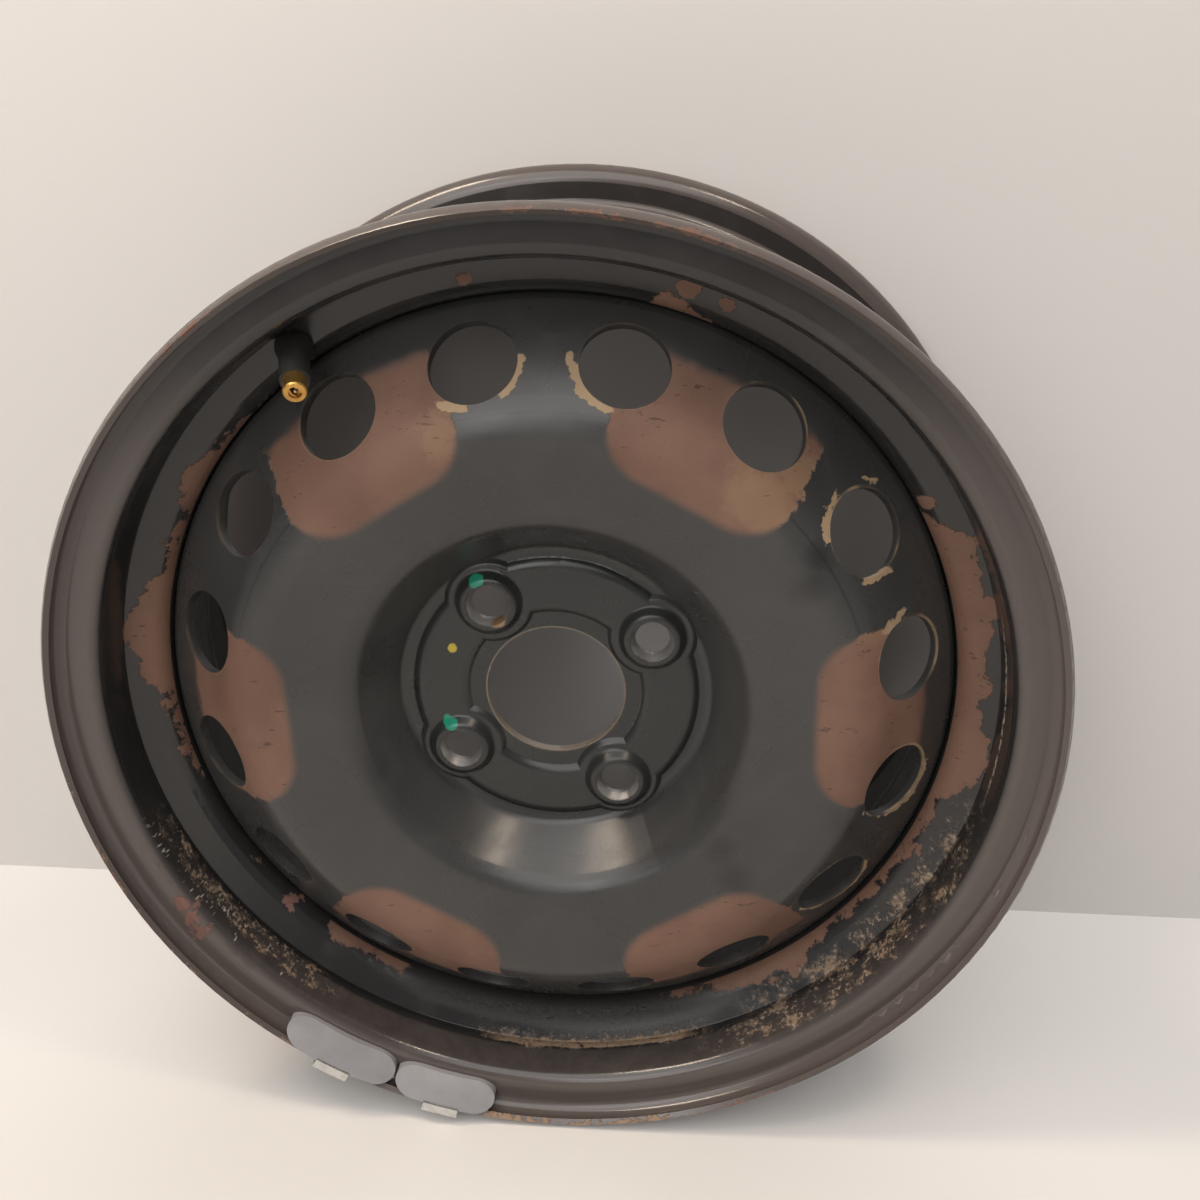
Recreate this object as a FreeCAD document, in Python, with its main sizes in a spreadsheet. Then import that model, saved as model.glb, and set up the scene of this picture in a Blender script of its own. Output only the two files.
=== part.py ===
import FreeCAD, Part
import math
import os
import Sketcher

# Pressed steel road wheel: a rolled rim with a dropped centre, a pressed disc welded inside it,
# a snap-in tyre valve with its core, and two clip-on balance weights.
# Frame: the spin axis is Y, the outer face looks towards -Y, the rim's middle plane is y = 0.

driving_sizes = [
    # rim, a rolled band of one sheet thickness
    ("rim_width", 152.4),
    ("rim_thickness", 2.5),
    ("bead_seat_radius", 190.1),
    ("flange_height", 17.7),
    ("flange_bend", 7.2),
    ("lip_droop", 45),
    ("lip_edge", 0.4),
    ("lip_flat", 0.15),
    ("heel_bend", 3.5),
    ("seat_width", 18),
    ("seat_slope", 5),
    ("hump_height", 1),
    ("hump_width", 4),
    ("hump_bend", 3.2),
    ("well_depth", 16.7),
    ("well_front", -46),
    ("well_rear", 2),
    ("well_bend", 8),
    ("ledge_front", 26),
    ("ledge_rise", 13),
    ("ledge_bend", 16),
    # disc, pressed from one sheet
    ("disc_thickness", 4),
    ("hub_face", -40),
    ("bore_radius", 30.05),
    ("bore_ring_radius", 37.4),
    ("raise_height", 2.3),
    ("raise_outer_radius", 60),
    ("raise_bend", 5),
    ("raise_foot_bend", 1),
    ("recess_radius", 67),
    ("recess_bend", 5),
    ("face_inner_radius", 85),
    ("face_inner_height", 30),
    ("face_inner_bend", 14),
    ("crown_radius", 128.9),
    ("crown_height", 37.3),
    ("crown_bend", 25),
    ("disc_flange_front", -41.1),
    ("disc_flange_rear", -12),
    ("disc_flange_bend", 8),
    # bolt seats and vents
    ("disc_turn", 123.35),
    ("bolt_count", 4),
    ("bolt_circle_radius", 50),
    ("bolt_pad_height", 6.3),
    ("bolt_pad_rim", 2.1),
    ("bolt_pad_flare", 3),
    ("bolt_pad_top_bend", 2.2),
    ("bolt_pad_foot_bend", 2),
    ("bolt_lobe_width", 2.6),
    ("bolt_lobe_bend", 2),
    ("bolt_lobe_sink", 0.2),
    ("bolt_pad_hollow", 4.3),
    ("bolt_pad_wall", 2),
    ("bolt_hole_radius", 7.4),
    ("bolt_seat_radius", 9.5),
    ("bolt_seat_cone", 60),
    ("vent_count", 16),
    ("vent_radius", 17.7),
    ("vent_circle_radius", 149.3),
    # welds between the disc's flange and the rim
    ("weld_count", 8),
    ("weld_leg", 3.6),
    ("weld_fill", 2.3),
    ("weld_length", 46),
    # valve
    ("valve_turn", 123.33),
    ("valve_hump_gap", 0.4),
    ("valve_hole_radius", 5.75),
    ("valve_groove_gap", 0.05),
    ("valve_seat_gap", 0.2),
    ("valve_collar_radius", 7.4),
    ("valve_collar_height", 2.2),
    ("valve_taper_length", 8),
    ("valve_taper", 0.4),
    ("valve_neck_radius", 5.6),
    ("valve_foot_radius", 8.4),
    ("valve_foot_height", 6.5),
    ("valve_foot_round", 1.2),
    ("valve_rubber_length", 23),
    ("stem_length", 30.5),
    ("stem_radius", 4.6),
    ("stem_core_radius", 3.2),
    ("stem_bore_radius", 2.55),
    ("stem_chamfer", 0.5),
    ("stem_passage_radius", 1.6),
    ("stem_room_gap", 0.25),
    ("stem_room_foot", 2.9),
    ("stem_throat", 4.9),
    ("core_depth", 0.8),
    ("core_head_length", 5.2),
    ("core_barrel_length", 9),
    ("core_barrel_radius", 1.9),
    ("core_guide_radius", 0.75),
    ("core_room_radius", 1.45),
    ("core_floor", 1.6),
    ("core_key_width", 1.1),
    ("core_key_depth", 1.8),
    ("core_seal_length", 1.6),
    ("core_pin_radius", 0.55),
    ("core_pin_tail", 1),
    ("core_collar_drop", 1),
    ("core_collar_radius", 1.2),
    ("core_collar_height", 0.6),
    ("core_cup_radius", 1.35),
    ("core_cup_height", 0.9),
    ("core_washer_height", 0.7),
    ("core_spring_wire", 0.24),
    ("core_spring_gap", 0.05),
    ("core_spring_turns", 5),
    # balance weights and their clips
    ("weight_one_turn", -119.95),
    ("weight_one_length", 55),
    ("weight_two_length", 47.5),
    ("weight_space", 1.06),
    ("weight_height", 11.4),
    ("weight_inset", 1.2),
    ("weight_proud", 2.4),
    ("weight_edge_thickness", 7.6),
    ("weight_bevel", 2.6),
    ("weight_bevel_height", 3.2),
    ("weight_lip_step", 3.6),
    ("weight_gap", 0.1),
    ("clip_length", 17),
    ("clip_thickness", 1),
    ("clip_gap", 0.3),
    ("clip_reach", 8.5),
    ("clip_root", 1),
]

doc = FreeCAD.newDocument("steel_wheel")
sheet = doc.addObject("Spreadsheet::Sheet", "Sizes")
for row, (alias, number) in enumerate(driving_sizes, start=1):
    sheet.set(f"A{row}", alias)
    sheet.set(f"B{row}", str(number))
    sheet.setAlias(f"B{row}", alias)
doc.recompute()


def value_of(expression):
    return float(sheet.evalExpression(expression))


def origin_feature(body, role):
    return next(item for item in body.Origin.OriginFeatures if item.Role == role)


def bind(sketch, expression, kind, *geometry):
    # Adds a dimension to a sketch and ties it to the sheet.
    index = sketch.addConstraint(Sketcher.Constraint(kind, *geometry, value_of(expression)))
    sketch.setExpression(f"Constraints[{index}]", expression)


def bend(before, corner, after, radius):
    # The round that replaces a corner: its tangent points, its arc and the arc's end that comes first.
    to_before = (before - corner).normalize()
    to_after = (after - corner).normalize()
    half = to_before.getAngle(to_after) / 2
    start = corner + to_before * (radius / math.tan(half))
    end = corner + to_after * (radius / math.tan(half))
    centre = corner + (to_before + to_after).normalize() * (radius / math.sin(half))
    turns_left = to_after.cross(to_before).z > 0
    angles = [math.atan2(point.y - centre.y, point.x - centre.x) for point in (start, end)]
    if not turns_left:
        angles.reverse()
    circle = Part.Circle(centre, FreeCAD.Vector(0, 0, 1), radius)
    return start, end, Part.ArcOfCircle(circle, *angles), 1 if turns_left else 2


def draw_outline(sketch, corners, closed=True):
    # Straight runs between named corners, with a tangent arc wherever a corner has a bend radius.
    points = [FreeCAD.Vector(value_of(x), value_of(y), 0) for x, y, radius in corners]
    count = len(corners)
    starts, ends, arcs = list(points), list(points), {}
    for i, (x, y, radius) in enumerate(corners):
        if radius:
            before, after = points[i - 1], points[(i + 1) % count]
            starts[i], ends[i], arc, first = bend(before, points[i], after, value_of(radius))
            arcs[i] = (sketch.addGeometry(arc, False), first)
    runs = range(count if closed else count - 1)
    lines = [sketch.addGeometry(Part.LineSegment(ends[i], starts[(i + 1) % count]), False) for i in runs]
    for i, (x, y, radius) in enumerate(corners):
        line_in = lines[i - 1] if closed or i > 0 else None
        line_out = lines[i] if closed or i < count - 1 else None
        if radius:
            arc, first = arcs[i]
            sketch.addConstraint(Sketcher.Constraint("Tangent", line_in, 2, arc, first))
            sketch.addConstraint(Sketcher.Constraint("Tangent", line_out, 1, arc, 3 - first))
            bind(sketch, radius, "Radius", arc)
            corner = sketch.addGeometry(Part.Point(points[i]), True)
            sketch.addConstraint(Sketcher.Constraint("PointOnObject", corner, 1, line_in))
            sketch.addConstraint(Sketcher.Constraint("PointOnObject", corner, 1, line_out))
            held, place = corner, 1
        elif line_in is None:
            held, place = line_out, 1
        else:
            held, place = line_in, 2
            if line_out is not None:
                sketch.addConstraint(Sketcher.Constraint("Coincident", line_in, 2, line_out, 1))
        bind(sketch, x, "DistanceX", held, place)
        bind(sketch, y, "DistanceY", held, place)
    doc.recompute()


def turn_about_axis(degrees):
    # Turns X towards Z about the spin axis.
    turn = FreeCAD.Rotation(FreeCAD.Vector(0, -1, 0), degrees)
    return FreeCAD.Placement(FreeCAD.Vector(0, 0, 0), turn)


def bent_sheet(name, corners, thickness, turn=0, angle="360"):
    # Sheet of one thickness: an open section, thickened to one side and turned about the spin axis.
    section = doc.addObject("Sketcher::SketchObject", name + "_section")
    draw_outline(section, corners, closed=False)
    section.Placement = turn_about_axis(turn)
    thick = doc.addObject("Part::Offset2D", name + "_thick")
    thick.Source = section
    thick.Mode = "Skin"
    thick.Fill = True
    thick.setExpression("Value", thickness)
    sheet_solid = doc.addObject("Part::Revolution", name)
    sheet_solid.Source = thick
    sheet_solid.Axis = FreeCAD.Vector(0, 1, 0)
    sheet_solid.Solid = True
    sheet_solid.Symmetric = True
    sheet_solid.setExpression("Angle", angle)
    doc.recompute()
    return sheet_solid


def turned_body(name, corners, angle=None):
    # A solid turned about Y from a closed section; x is the distance from the axis.
    body = doc.addObject("PartDesign::Body", name)
    section = body.newObject("Sketcher::SketchObject", name + "_section")
    section.AttachmentSupport = [(origin_feature(body, "XY_Plane"), "")]
    section.MapMode = "FlatFace"
    draw_outline(section, corners)
    turned = body.newObject("PartDesign::Revolution", name + "_turned")
    turned.Profile = section
    turned.ReferenceAxis = (section, ["V_Axis"])
    if angle:
        turned.Midplane = True
        turned.setExpression("Angle", angle)
    doc.recompute()
    return body


def patterned(body, name, features, count):
    pattern = body.newObject("PartDesign::PolarPattern", name)
    pattern.Originals = features
    pattern.Axis = (origin_feature(body, "Y_Axis"), [""])
    pattern.Angle = 360
    pattern.setExpression("Occurrences", count)
    body.Tip = pattern
    doc.recompute()


# Rim section, on the tyre's side of the sheet
half_width = "(Sizes.rim_width / 2)"
flange_radius = "(Sizes.bead_seat_radius + Sizes.flange_height)"
well_radius = "(Sizes.bead_seat_radius - Sizes.well_depth)"
droop_reach = "(Sizes.flange_bend * tan(Sizes.lip_droop / 2))"
lip_corner = f"({half_width} + Sizes.flange_bend + Sizes.lip_flat + {droop_reach})"
lip_length = f"({droop_reach} + Sizes.lip_edge)"
lip_end = f"({lip_corner} + {lip_length} * cos(Sizes.lip_droop))"
lip_end_radius = f"({flange_radius} - {lip_length} * sin(Sizes.lip_droop))"
seat_end = f"({half_width} - Sizes.seat_width)"
seat_end_radius = "(Sizes.bead_seat_radius - Sizes.seat_width * tan(Sizes.seat_slope))"
hump_place = f"({seat_end} - Sizes.hump_width)"
hump_radius = f"({seat_end_radius} + Sizes.hump_height)"
ledge_radius = f"({well_radius} + Sizes.ledge_rise)"


def flange_corners(sign):
    # Lip, flange, heel, bead seat and hump of one side, from the lip inwards.
    return [
        (lip_end_radius, f"{sign} * {lip_end}", None),
        (flange_radius, f"{sign} * {lip_corner}", "Sizes.flange_bend"),
        (flange_radius, f"{sign} * {half_width}", "Sizes.flange_bend"),
        ("Sizes.bead_seat_radius", f"{sign} * {half_width}", "Sizes.heel_bend"),
        (seat_end_radius, f"{sign} * {seat_end}", "Sizes.hump_bend"),
        (hump_radius, f"{sign} * {hump_place}", "Sizes.hump_bend"),
    ]


rim_corners = flange_corners(-1) + [
    (well_radius, "Sizes.well_front", "Sizes.well_bend"),
    (well_radius, "Sizes.well_rear", "Sizes.well_bend"),
    (ledge_radius, "Sizes.ledge_front", "Sizes.ledge_bend"),
] + flange_corners(1)[::-1]
rim_band = bent_sheet("rim_band", rim_corners, "-Sizes.rim_thickness")

# The valve stands square on the slope between the front hump and the well, with its collar clear
# of the hump's inner bend.
hump_front = FreeCAD.Vector(value_of(hump_radius), value_of(f"-1 * {hump_place}"), 0)
well_corner = FreeCAD.Vector(value_of(well_radius), value_of("Sizes.well_front"), 0)
seat_front = FreeCAD.Vector(value_of(seat_end_radius), value_of(f"-1 * {seat_end}"), 0)
slope = (well_corner - hump_front).normalize()
slope_inward = FreeCAD.Vector(-abs(slope.y), -abs(slope.x), 0)
hump_turn = (hump_front - seat_front).getAngle(slope)
hump_inset = value_of("Sizes.rim_thickness") * math.tan(hump_turn / 2)
valve_reach = hump_inset + value_of("Sizes.valve_collar_radius + Sizes.valve_hump_gap")
valve_foot = hump_front + slope * valve_reach
valve_seat = valve_foot + slope_inward * value_of("Sizes.rim_thickness")
valve_frame = turn_about_axis(value_of("Sizes.valve_turn")) * FreeCAD.Placement(
    valve_seat, FreeCAD.Rotation(FreeCAD.Vector(0, 1, 0), slope_inward))

valve_drill = doc.addObject("Part::Cylinder", "valve_drill")
valve_drill.setExpression("Radius", "Sizes.valve_hole_radius")
valve_drill.setExpression("Height", "3 * Sizes.rim_thickness")
drill_start = FreeCAD.Vector(0, value_of("-2 * Sizes.rim_thickness"), 0)
along_valve = FreeCAD.Rotation(FreeCAD.Vector(0, 0, 1), FreeCAD.Vector(0, 1, 0))
valve_drill.Placement = valve_frame * FreeCAD.Placement(drill_start, along_valve)
rim = doc.addObject("Part::Cut", "rim")
rim.Base = rim_band
rim.Tool = valve_drill

# Disc section, on the front of the sheet
ring_front = "(Sizes.hub_face - Sizes.disc_thickness)"
raise_front = f"({ring_front} - Sizes.raise_height)"
fit_radius = f"({well_radius} - Sizes.rim_thickness)"
disc_corners = [
    ("Sizes.bore_radius", ring_front, None),
    ("Sizes.bore_ring_radius", ring_front, "Sizes.raise_foot_bend"),
    ("Sizes.bore_ring_radius + Sizes.raise_height", raise_front, "Sizes.raise_bend"),
    ("Sizes.raise_outer_radius", raise_front, "Sizes.raise_bend"),
    ("Sizes.raise_outer_radius + Sizes.raise_height", ring_front, "Sizes.raise_foot_bend"),
    ("Sizes.recess_radius", ring_front, "Sizes.recess_bend"),
    ("Sizes.face_inner_radius", "Sizes.hub_face - Sizes.face_inner_height", "Sizes.face_inner_bend"),
    ("Sizes.crown_radius", "Sizes.hub_face - Sizes.crown_height", "Sizes.crown_bend"),
    (fit_radius, "Sizes.disc_flange_front", "Sizes.disc_flange_bend"),
    (fit_radius, "Sizes.disc_flange_rear", None),
]
disc_blank = bent_sheet("disc_blank", disc_corners, "Sizes.disc_thickness")

wheel_disc = doc.addObject("PartDesign::Body", "wheel_disc")
wheel_disc.BaseFeature = disc_blank
doc.recompute()


def cone_feature(kind, name, radius_one, radius_two, height, along, start):
    # A cone about a bolt's axis, from radius_one at its start to radius_two at its end.
    cone = wheel_disc.newObject("PartDesign::" + kind, name)
    cone.setExpression("Radius1", radius_one)
    cone.setExpression("Radius2", radius_two)
    cone.setExpression("Height", height)
    turn = FreeCAD.Rotation(FreeCAD.Vector(0, 0, 1), FreeCAD.Vector(0, along, 0))
    cone.Placement = FreeCAD.Placement(FreeCAD.Vector(0, 0, 0), turn)
    cone.setExpression("Placement.Base.x", "Sizes.bolt_circle_radius")
    cone.setExpression("Placement.Base.y", start)
    doc.recompute()
    return cone


pad_front = f"({ring_front} - Sizes.bolt_pad_height)"
pad_top_radius = "(Sizes.bolt_seat_radius + Sizes.bolt_pad_rim)"
pad_radius = f"({pad_top_radius} + Sizes.bolt_pad_flare)"
lobe_radius = f"({pad_radius} + Sizes.bolt_lobe_width)"
lobe_foot_radius = f"({lobe_radius} + Sizes.raise_height)"
hollow_top_radius = f"({pad_top_radius} - Sizes.bolt_pad_wall)"
pad_slope = "(Sizes.bolt_pad_flare / (Sizes.bolt_pad_height - Sizes.raise_height))"
sheet_middle = "(Sizes.hub_face - Sizes.disc_thickness / 2)"
seat_depth = "((Sizes.bolt_seat_radius - Sizes.bolt_hole_radius) / tan(Sizes.bolt_seat_cone / 2))"
# Each pad is a rounded boss on a lobe that lies a little under the raised ring's front; x runs from the
# bolt's axis.
lobe_front = f"({raise_front} + Sizes.bolt_lobe_sink)"
pad_corners = [
    ("0", sheet_middle, None),
    (lobe_foot_radius, sheet_middle, None),
    (lobe_foot_radius, f"{ring_front} + Sizes.bolt_lobe_sink", None),
    (lobe_radius, lobe_front, "Sizes.bolt_lobe_bend"),
    (pad_radius, lobe_front, "Sizes.bolt_pad_foot_bend"),
    (pad_top_radius, pad_front, "Sizes.bolt_pad_top_bend"),
    ("0", pad_front, None),
]
pad_section = wheel_disc.newObject("Sketcher::SketchObject", "bolt_pad_section")
pad_section.AttachmentSupport = [(origin_feature(wheel_disc, "XY_Plane"), "")]
pad_section.MapMode = "FlatFace"
pad_section.setExpression("AttachmentOffset.Base.x", "Sizes.bolt_circle_radius")
draw_outline(pad_section, pad_corners)
pad = wheel_disc.newObject("PartDesign::Revolution", "bolt_pad")
pad.Profile = pad_section
pad.ReferenceAxis = (pad_section, ["V_Axis"])
doc.recompute()
patterned(wheel_disc, "bolt_pads", [pad], "Sizes.bolt_count")
hollow = cone_feature("SubtractiveCone", "pad_hollow",
                      f"{hollow_top_radius} + Sizes.bolt_pad_hollow * {pad_slope}", hollow_top_radius,
                      "Sizes.bolt_pad_hollow", -1, "Sizes.hub_face")
patterned(wheel_disc, "pad_hollows", [hollow], "Sizes.bolt_count")
bolt_hole = wheel_disc.newObject("PartDesign::SubtractiveCylinder", "bolt_hole")
bolt_hole.setExpression("Radius", "Sizes.bolt_hole_radius")
bolt_hole.setExpression("Height", "2 * Sizes.bolt_pad_height + Sizes.disc_thickness")
bolt_hole.Placement = FreeCAD.Placement(
    FreeCAD.Vector(0, 0, 0), FreeCAD.Rotation(FreeCAD.Vector(0, 0, 1), FreeCAD.Vector(0, -1, 0)))
bolt_hole.setExpression("Placement.Base.x", "Sizes.bolt_circle_radius")
bolt_hole.setExpression("Placement.Base.y", "Sizes.hub_face")
doc.recompute()
patterned(wheel_disc, "bolt_holes", [bolt_hole], "Sizes.bolt_count")
seat = cone_feature("SubtractiveCone", "bolt_seat", "Sizes.bolt_seat_radius", "Sizes.bolt_hole_radius",
                    seat_depth, 1, pad_front)
patterned(wheel_disc, "bolt_seats", [seat], "Sizes.bolt_count")

# Round vents, cut square to the disc's outer cone
cone_run = f"({fit_radius} - Sizes.crown_radius)"
cone_fall = "(Sizes.disc_flange_front - Sizes.hub_face + Sizes.crown_height)"
cone_tilt = math.atan2(value_of(cone_fall), value_of(cone_run))
vent_inset = f"({fit_radius} - Sizes.vent_circle_radius)"
vent_front = f"(Sizes.disc_flange_front - {vent_inset} * {cone_fall} / {cone_run})"
outward = FreeCAD.Vector(math.sin(cone_tilt), -math.cos(cone_tilt), 0)
vent = wheel_disc.newObject("PartDesign::SubtractiveCylinder", "vent")
vent.setExpression("Radius", "Sizes.vent_radius")
vent.setExpression("Height", "6 * Sizes.disc_thickness")
vent_centre = FreeCAD.Vector(value_of("Sizes.vent_circle_radius"), value_of(vent_front), 0)
vent.Placement = FreeCAD.Placement(vent_centre - outward * (3 * value_of("Sizes.disc_thickness")),
                                   FreeCAD.Rotation(FreeCAD.Vector(0, 0, 1), outward))
doc.recompute()
patterned(wheel_disc, "vents", [vent], "Sizes.vent_count")
wheel_disc.Placement = turn_about_axis(value_of("Sizes.disc_turn"))

# Weld beads in the corner behind the disc's flange
bead_corners = [
    (fit_radius, "Sizes.disc_flange_rear", None),
    (f"{fit_radius} - Sizes.weld_leg", "Sizes.disc_flange_rear", None),
    (f"{fit_radius} - Sizes.weld_fill", "Sizes.disc_flange_rear + Sizes.weld_fill", None),
    (fit_radius, "Sizes.disc_flange_rear + Sizes.weld_leg", None),
]
weld_beads = turned_body("weld_beads", bead_corners, f"Sizes.weld_length / {fit_radius} * 180 / pi")
patterned(weld_beads, "weld_run", [weld_beads.Tip], "Sizes.weld_count")
weld_beads.Placement = turn_about_axis(value_of("Sizes.disc_turn"))

# Valve: y runs along the stem, from the rim's inner face towards the open tip.
groove_radius = "(Sizes.valve_hole_radius - Sizes.valve_groove_gap)"
rubber_corners = [
    ("Sizes.stem_core_radius", "Sizes.valve_rubber_length", None),
    ("Sizes.valve_neck_radius", "Sizes.valve_rubber_length", None),
    ("Sizes.valve_neck_radius + Sizes.valve_taper", "Sizes.valve_taper_length", None),
    ("Sizes.valve_collar_radius", "Sizes.valve_collar_height", None),
    ("Sizes.valve_collar_radius", "Sizes.valve_seat_gap", None),
    (groove_radius, "Sizes.valve_seat_gap", None),
    (groove_radius, "-Sizes.rim_thickness", None),
    ("Sizes.valve_foot_radius", "-Sizes.rim_thickness", None),
    ("Sizes.valve_foot_radius", "-Sizes.rim_thickness - Sizes.valve_foot_height / 2",
     "Sizes.valve_foot_round"),
    ("Sizes.valve_neck_radius", "-Sizes.rim_thickness - Sizes.valve_foot_height", None),
    ("Sizes.stem_core_radius", "-Sizes.rim_thickness - Sizes.valve_foot_height", None),
]
valve_rubber = turned_body("valve_rubber", rubber_corners)
valve_rubber.Placement = valve_frame
# The soft foot takes the shape of the rim's bend that it is pulled against.
valve_body = doc.addObject("Part::Cut", "valve_body")
valve_body.Base = valve_rubber
valve_body.Tool = rim

core_top = "(Sizes.stem_length - Sizes.core_depth)"
core_step = f"({core_top} - Sizes.core_head_length)"
core_foot = f"({core_step} - Sizes.core_barrel_length)"
seal_foot = f"({core_step} - Sizes.core_seal_length)"
stem_room = "(Sizes.core_barrel_radius + Sizes.stem_room_gap)"
stem_corners = [
    ("Sizes.stem_bore_radius", "Sizes.stem_length", None),
    ("Sizes.stem_radius - Sizes.stem_chamfer", "Sizes.stem_length", None),
    ("Sizes.stem_radius", "Sizes.stem_length - Sizes.stem_chamfer", None),
    ("Sizes.stem_radius", "Sizes.valve_rubber_length", None),
    ("Sizes.stem_core_radius", "Sizes.valve_rubber_length", None),
    ("Sizes.stem_core_radius", "-Sizes.rim_thickness - Sizes.valve_foot_height", None),
    ("Sizes.stem_passage_radius", "-Sizes.rim_thickness - Sizes.valve_foot_height", None),
    ("Sizes.stem_passage_radius", f"{core_foot} - Sizes.stem_throat", None),
    (stem_room, f"{core_foot} - Sizes.stem_room_foot", None),
    (stem_room, seal_foot, None),
    ("Sizes.stem_bore_radius", core_step, None),
]
valve_stem = turned_body("valve_stem", stem_corners)
valve_stem.Placement = valve_frame

core_corners = [
    ("Sizes.core_room_radius", core_top, None),
    ("Sizes.stem_bore_radius", core_top, None),
    ("Sizes.stem_bore_radius", core_step, None),
    ("Sizes.core_barrel_radius", core_step, None),
    ("Sizes.core_barrel_radius", core_foot, None),
    ("Sizes.core_guide_radius", core_foot, None),
    ("Sizes.core_guide_radius", f"{core_foot} + Sizes.core_floor", None),
    ("Sizes.core_room_radius", f"{core_foot} + Sizes.core_floor", None),
]
core_body = turned_body("core_body", core_corners)
key = core_body.newObject("PartDesign::SubtractiveBox", "core_key_slot")
key.setExpression("Length", "4 * Sizes.stem_bore_radius")
key.setExpression("Width", "2 * Sizes.core_key_depth")
key.setExpression("Height", "2 * Sizes.core_key_width")
key.setExpression("Placement.Base.x", "-2 * Sizes.stem_bore_radius")
key.setExpression("Placement.Base.y", f"{core_top} - Sizes.core_key_depth")
key.setExpression("Placement.Base.z", "-Sizes.core_key_width")
core_body.Placement = valve_frame

seal_corners = [
    ("Sizes.core_barrel_radius", core_step, None),
    ("Sizes.stem_bore_radius", core_step, None),
    (stem_room, seal_foot, None),
    ("Sizes.core_barrel_radius", seal_foot, None),
]
core_seal = turned_body("core_seal", seal_corners)
core_seal.Placement = valve_frame

# Sprung pin of the core: collar above the spring, cup below the barrel
washer_foot = f"({core_foot} - Sizes.core_washer_height)"
cup_foot = f"({washer_foot} - Sizes.core_cup_height)"
collar_foot = f"({core_step} - Sizes.core_collar_drop)"
pin_corners = [
    ("0", core_top, None),
    ("Sizes.core_pin_radius", core_top, None),
    ("Sizes.core_pin_radius", f"{collar_foot} + Sizes.core_collar_height", None),
    ("Sizes.core_collar_radius", f"{collar_foot} + Sizes.core_collar_height", None),
    ("Sizes.core_collar_radius", collar_foot, None),
    ("Sizes.core_pin_radius", collar_foot, None),
    ("Sizes.core_pin_radius", washer_foot, None),
    ("Sizes.core_cup_radius", washer_foot, None),
    ("Sizes.core_cup_radius", cup_foot, None),
    ("Sizes.core_pin_radius", cup_foot, None),
    ("Sizes.core_pin_radius", f"{cup_foot} - Sizes.core_pin_tail", None),
    ("0", f"{cup_foot} - Sizes.core_pin_tail", None),
]
core_pin = turned_body("core_pin", pin_corners)
core_pin.Placement = valve_frame

washer_corners = [
    ("Sizes.core_pin_radius", core_foot, None),
    ("Sizes.core_cup_radius", core_foot, None),
    ("Sizes.core_cup_radius", washer_foot, None),
    ("Sizes.core_pin_radius", washer_foot, None),
]
core_washer = turned_body("core_washer", washer_corners)
core_washer.Placement = valve_frame

spring_foot = f"({core_foot} + Sizes.core_floor)"
spring_radius = "((Sizes.core_pin_radius + Sizes.core_room_radius) / 2)"
spring_lift = "(Sizes.core_spring_wire / 2 + Sizes.core_spring_gap)"
spring_height = f"({collar_foot} - {spring_foot} - 2 * {spring_lift})"
spring_path = doc.addObject("Part::Helix", "spring_path")
spring_path.setExpression("Radius", spring_radius)
spring_path.setExpression("Height", spring_height)
spring_path.setExpression("Pitch", f"{spring_height} / Sizes.core_spring_turns")
spring_wire = doc.addObject("Part::Circle", "spring_wire")
spring_wire.setExpression("Radius", "Sizes.core_spring_wire / 2")
spring_wire.Placement = FreeCAD.Placement(
    FreeCAD.Vector(0, 0, 0), FreeCAD.Rotation(FreeCAD.Vector(0, 0, 1), FreeCAD.Vector(0, 1, 0)))
spring_wire.setExpression("Placement.Base.x", spring_radius)
doc.recompute()
core_spring = doc.addObject("Part::Sweep", "core_spring")
core_spring.Sections = [spring_wire]
core_spring.Spine = (spring_path, ["Edge1"])
core_spring.Solid = True
core_spring.Frenet = True
spring_start = FreeCAD.Vector(0, value_of(f"{spring_foot} + {spring_lift}"), 0)
core_spring.Placement = valve_frame * FreeCAD.Placement(spring_start, along_valve)

# Balance weights: a bar that follows the flange, with a sloping front and round ends
wall_front = f"({half_width} + Sizes.rim_thickness)"
lip_under = f"({flange_radius} - Sizes.flange_bend)"
weight_front = f"({lip_end} + Sizes.weight_proud)"
lip_thick_reach = "(Sizes.rim_thickness * sin(Sizes.lip_droop))"
under_lip = f"({lip_end_radius} - {lip_thick_reach} - Sizes.clip_gap)"
weight_back = f"({wall_front} + Sizes.weight_gap)"
weight_edge = f"({weight_back} + Sizes.weight_edge_thickness)"
weight_outer = f"({lip_end_radius} - Sizes.weight_inset)"
weight_inner = f"({weight_outer} - Sizes.weight_height)"
weight_corners = [
    (weight_inner, f"-1 * {weight_back}", None),
    (lip_under, f"-1 * {weight_back}", None),
    (under_lip, f"-1 * ({wall_front} + Sizes.weight_lip_step)", None),
    (under_lip, f"-1 * ({lip_end} - {lip_thick_reach})", None),
    (weight_outer, f"-1 * ({lip_end} + 2 * Sizes.clip_gap)", None),
    (weight_outer, f"-1 * {weight_front}", None),
    (f"{weight_inner} + Sizes.weight_bevel", f"-1 * ({weight_edge} + Sizes.weight_bevel_height)", None),
    (weight_inner, f"-1 * {weight_edge}", None),
]
weight_middle_radius = f"(({weight_inner} + {weight_outer}) / 2)"
weight_end_radius = "(Sizes.weight_height / 2)"


def round_end(name, turn):
    # A post as wide as the bar, standing at the middle of one round end
    post = doc.addObject("Part::Cylinder", name)
    post.setExpression("Radius", weight_end_radius)
    post.setExpression("Height", f"2 * {weight_front}")
    forward = FreeCAD.Rotation(FreeCAD.Vector(0, 0, 1), FreeCAD.Vector(0, -1, 0))
    middle = FreeCAD.Vector(value_of(weight_middle_radius), 0, 0)
    post.Placement = turn_about_axis(turn) * FreeCAD.Placement(middle, forward)
    return post


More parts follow.
